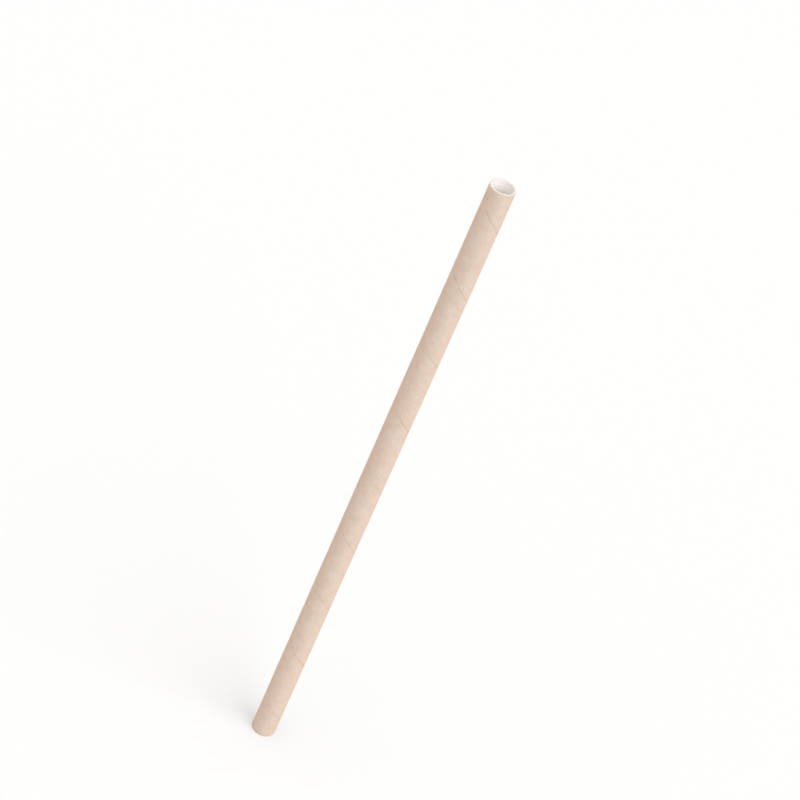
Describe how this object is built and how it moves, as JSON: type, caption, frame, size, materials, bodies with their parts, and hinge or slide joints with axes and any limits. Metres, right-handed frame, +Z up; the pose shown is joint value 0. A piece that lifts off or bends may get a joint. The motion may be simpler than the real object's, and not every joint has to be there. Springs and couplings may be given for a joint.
{
  "type": "paper drinking straw",
  "caption": "Straight round paper drinking straw, an unprinted tan kraft strip wound in a left-hand spiral over a white paper lining, with square-cut open ends.",
  "frame": {"origin": "centre of the foot end, on the surface the straw stands on", "axes": "+Z up the straw towards its mouth end, -Y the front that the picture shows, +X to its right"},
  "size_m": [0.007, 0.007, 0.197],
  "materials": {
    "kraft_paper": "matte",
    "white_paper": "matte"
  },
  "bodies": {
    "root": {"kraft_outer_ply": "kraft_paper", "white_liner_ply": "white_paper"}
  },
  "joints": []
}
